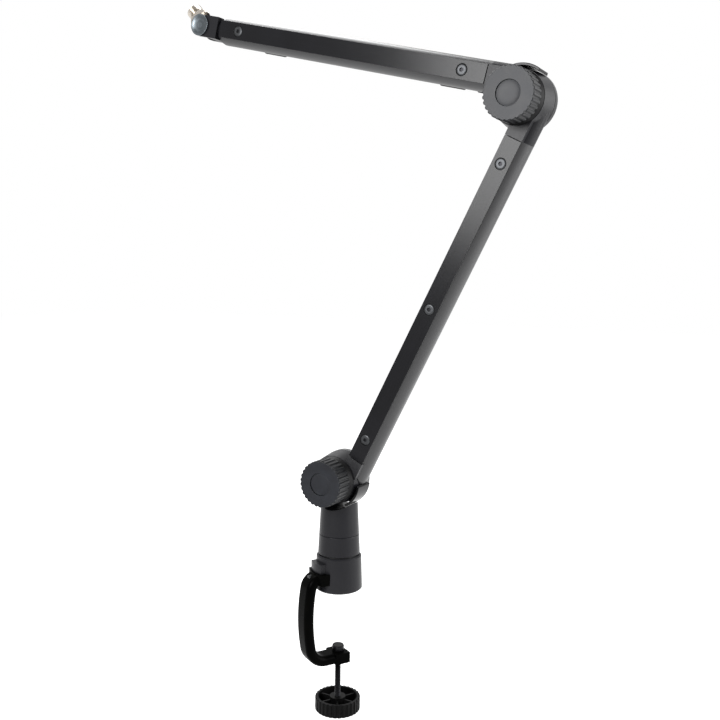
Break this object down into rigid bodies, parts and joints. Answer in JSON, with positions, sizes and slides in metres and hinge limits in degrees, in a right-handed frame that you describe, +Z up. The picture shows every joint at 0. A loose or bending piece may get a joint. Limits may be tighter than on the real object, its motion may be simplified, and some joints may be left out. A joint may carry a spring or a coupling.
{
  "type": "microphone boom arm",
  "caption": "Desk-clamp boom arm: swivelling post, lapped shoulder and elbow with ribbed tension knobs, round arm tubes with cover strips, C-clamp and tilting threaded microphone stud.",
  "frame": {"origin": "middle of the underside of the desk pad, on the post's swivel axis", "axes": "+Z up the post, the arms fold in the XZ plane with the elbow towards +X, tension knobs face -Y"},
  "size_m": [0.3883, 0.0668, 0.7093],
  "materials": {
    "charcoal_casting": "matte charcoal powder coat on die-cast metal",
    "charcoal_tube": "matte charcoal coat on drawn tube",
    "black_cover": "satin black anodised strip",
    "grey_screw": "dark grey plated steel",
    "steel": "plain steel",
    "gloss_black": "glossy black moulding",
    "knob_plastic": "fine matte dark grey moulding",
    "brass": "turned brass",
    "black_steel": "gloss black enamel on cast steel",
    "black_screw": "black oxide steel",
    "bright_nickel": "bright nickel plate",
    "satin_disc": "satin grey turned disc",
    "rubber": "black rubber",
    "bush_plastic": "self-lubricating black plastic"
  },
  "bodies": {
    "base": {"collar": "charcoal_casting", "base_plate": "steel", "desk_pad": "rubber", "pan_bush": "bush_plastic", "clamp_frame": "black_steel", "frame_bolt": "grey_screw", "jaw_bush": "brass"},
    "post": {"post_sleeve": "charcoal_casting", "post_head": "charcoal_casting", "pan_spigot": "steel", "spigot_washer": "steel", "spigot_screw": "grey_screw", "shoulder_bolt": "steel", "shoulder_ring": "knob_plastic", "shoulder_friction_disc": "bush_plastic"},
    "lower_arm": {"lower_arm_root": "charcoal_casting", "lower_arm_tube": "charcoal_tube", "lower_arm_cover": "black_cover", "lower_arm_cover_screws": "grey_screw", "lower_arm_plug_pins": "steel", "lower_arm_end": "charcoal_casting", "shoulder_rear_cap": "knob_plastic", "shoulder_guide": "gloss_black", "lower_spring": "steel", "lower_spring_anchors": "bush_plastic", "elbow_bolt": "steel", "elbow_ring": "knob_plastic", "elbow_friction_disc": "bush_plastic"},
    "shoulder_tension": {"shoulder_knob": "knob_plastic", "shoulder_knob_cap": "knob_plastic", "shoulder_knob_insert": "brass"},
    "upper_arm": {"upper_arm_root": "charcoal_casting", "upper_arm_tube": "charcoal_tube", "upper_arm_cover": "black_cover", "upper_arm_cover_screws": "grey_screw", "upper_arm_plug_pins": "steel", "elbow_rear_cap": "knob_plastic", "elbow_guide": "gloss_black", "upper_spring": "steel", "upper_spring_anchors": "bush_plastic", "cable_clips": "knob_plastic", "mic_fork": "charcoal_casting", "mic_pivot_bolt": "satin_disc", "mic_pivot_nut": "steel"},
    "elbow_tension": {"elbow_knob": "knob_plastic", "elbow_knob_cap": "knob_plastic", "elbow_knob_insert": "brass"},
    "mic_mount": {"mic_knuckle": "bright_nickel", "stud_flange": "bright_nickel"},
    "clamp_pad": {"press_pad": "black_screw", "press_rubber": "rubber"},
    "clamp_screw": {"clamp_screw": "black_screw", "clamp_knob": "knob_plastic", "clamp_knob_nut": "steel"}
  },
  "joints": [
    {"name": "pan", "type": "hinge", "parent": "base", "child": "post", "pos_m": [0, 0, 0.036], "axis": [0, 0, 1], "continuous": true},
    {"name": "shoulder_tilt", "type": "hinge", "parent": "post", "child": "lower_arm", "pos_m": [0, 0, 0.1121], "axis": [0, -1, 0], "range_deg": [-37, 35]},
    {"name": "shoulder_knob_turn", "type": "hinge", "parent": "post", "child": "shoulder_tension", "pos_m": [0, -0.028, 0.1121], "axis": [0, -1, 0], "range_deg": [0, 270]},
    {"name": "elbow_tilt", "type": "hinge", "parent": "lower_arm", "child": "upper_arm", "pos_m": [0.17681, 0, 0.45972], "axis": [0, -1, 0], "range_deg": [-88, 70]},
    {"name": "elbow_knob_turn", "type": "hinge", "parent": "lower_arm", "child": "elbow_tension", "pos_m": [0.17681, -0.028, 0.45972], "axis": [0, -1, 0], "range_deg": [0, 270]},
    {"name": "mic_tilt", "type": "hinge", "parent": "upper_arm", "child": "mic_mount", "pos_m": [-0.16197, 0, 0.55923], "axis": [0, -1, 0], "range_deg": [-50, 115]},
    {"name": "clamp_slide", "type": "slide", "parent": "base", "child": "clamp_pad", "axis": [0, 0, 1], "range_m": [0, 0.036]},
    {"name": "clamp_screw_turn", "type": "hinge", "parent": "clamp_pad", "child": "clamp_screw", "pos_m": [0, 0, -0.1], "axis": [0, 0, 1], "range_deg": [0, 12960]}
  ],
  "couplings": [
    {"joint": "clamp_slide", "follows": "clamp_screw_turn", "m_per_rad": 0.00015915}
  ]
}
